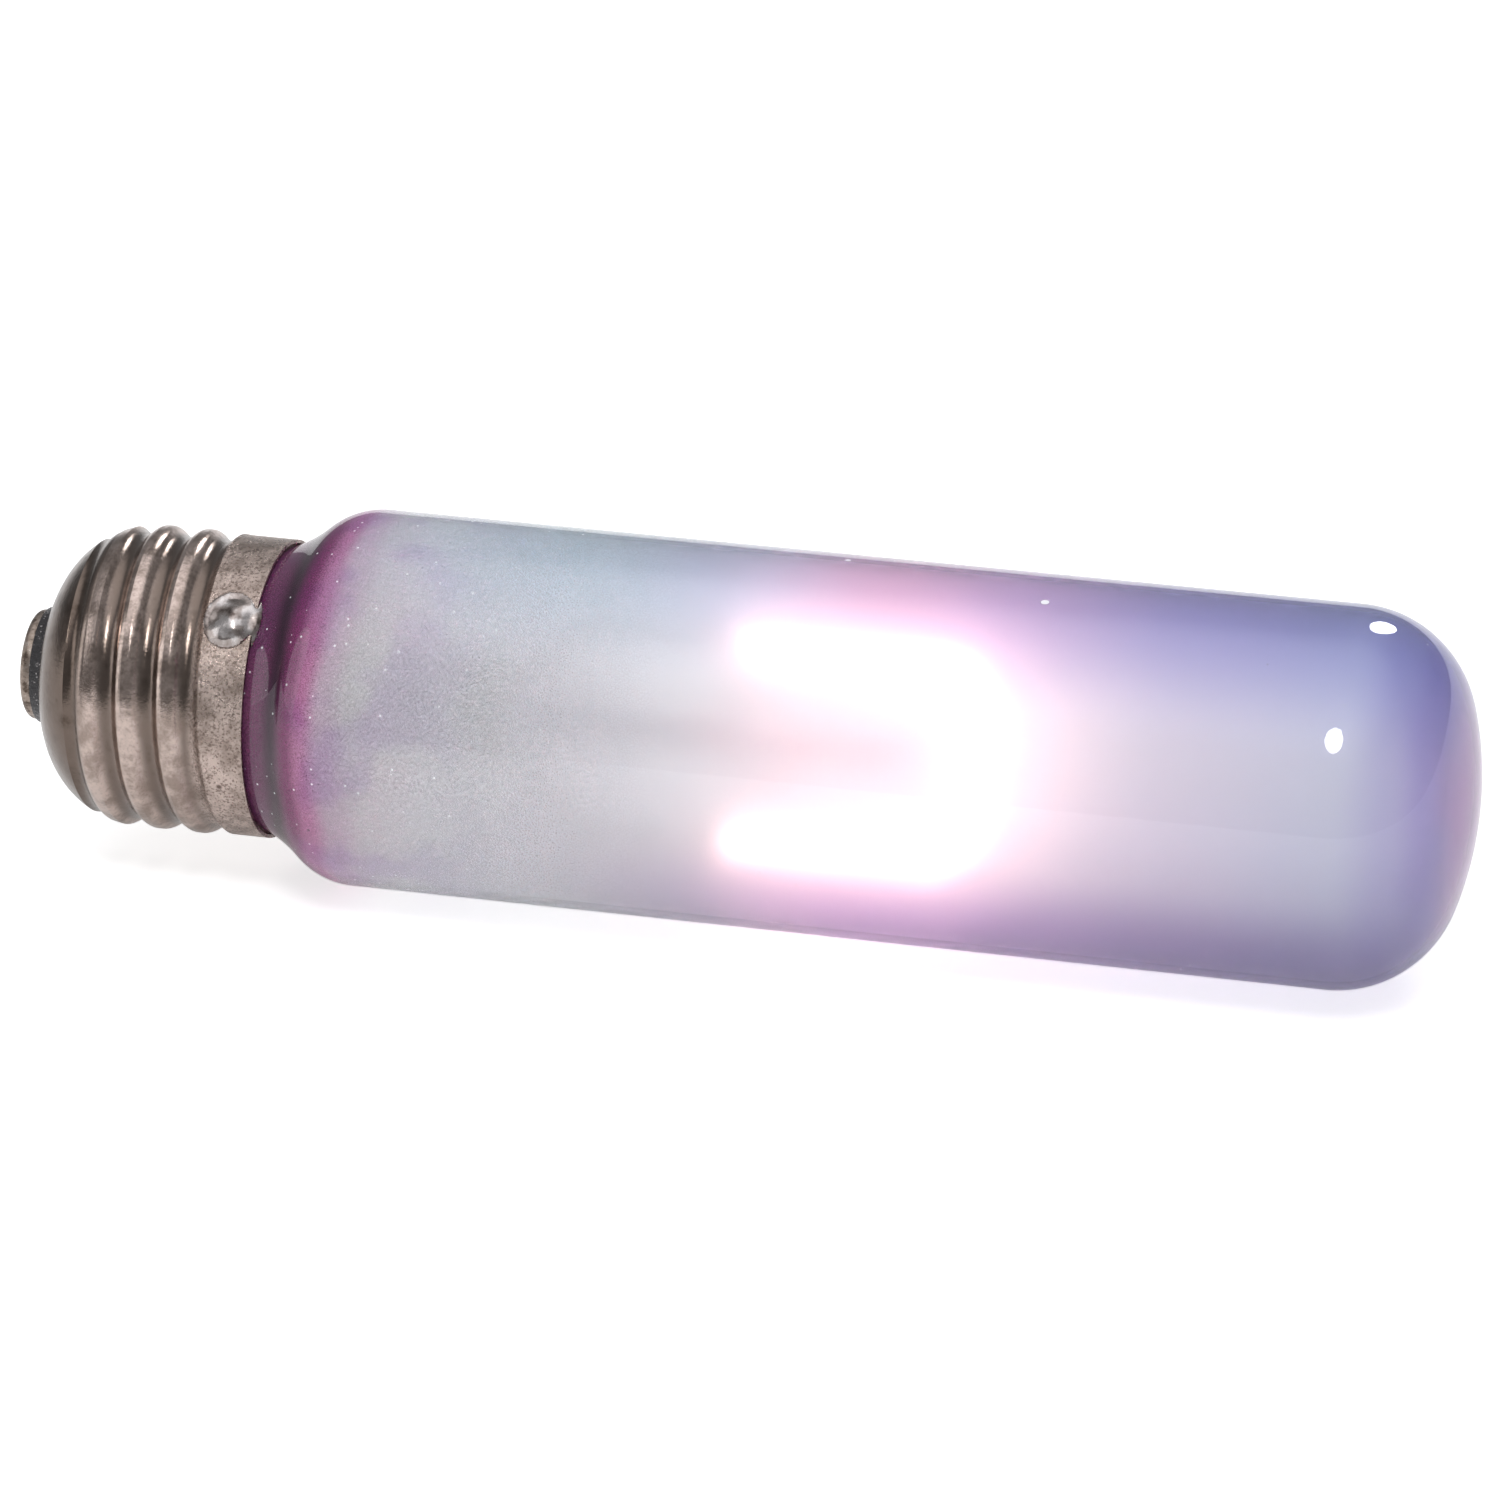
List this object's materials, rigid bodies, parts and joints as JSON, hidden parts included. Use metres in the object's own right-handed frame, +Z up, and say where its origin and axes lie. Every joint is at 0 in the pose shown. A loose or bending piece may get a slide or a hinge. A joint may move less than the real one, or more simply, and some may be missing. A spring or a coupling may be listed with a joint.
{
  "type": "light bulb",
  "caption": "Tubular incandescent lamp with frosted blue-violet glass, a hairpin filament on a glass stem and a nickel-plated medium screw base.",
  "frame": {"origin": "centre of the flat on the centre contact's solder, at the tip of the screw base", "axes": "+X along the lamp's axis from the contact to the dome, +Z up with the lamp lying on its side"},
  "size_m": [0.127, 0.0326, 0.0326],
  "materials": {
    "blue_glass": "blue-violet tinted glass, polished outside and frosted inside",
    "clear_glass": "clear glass, fire polished",
    "black_glass": "black glass, pitted",
    "nickel": "nickel-plated brass, worn satin",
    "solder": "tin solder, lumpy",
    "contact_metal": "tarnished brass",
    "cement": "matt cement",
    "lead_wire": "bright nickel wire",
    "copper_wire": "copper-clad wire",
    "support_wire": "fine molybdenum wire",
    "glowing_tungsten": "white-hot coiled tungsten"
  },
  "bodies": {
    "root": {"bulb_envelope": "blue_glass", "stem_flare": "clear_glass", "exhaust_tube": "clear_glass", "arbor_rod": "clear_glass", "filament": "glowing_tungsten", "filament_support_1": "support_wire", "filament_support_2": "support_wire", "filament_support_3": "support_wire", "filament_support_4": "support_wire", "filament_support_5": "support_wire", "inner_lead_upper": "lead_wire", "inner_lead_lower": "lead_wire", "dumet_seal_upper": "copper_wire", "dumet_seal_lower": "copper_wire", "centre_lead": "copper_wire", "side_lead": "copper_wire", "screw_shell": "nickel", "insulator": "black_glass", "contact_eyelet": "contact_metal", "centre_solder": "solder", "side_solder": "solder", "basing_cement": "cement"}
  },
  "joints": []
}
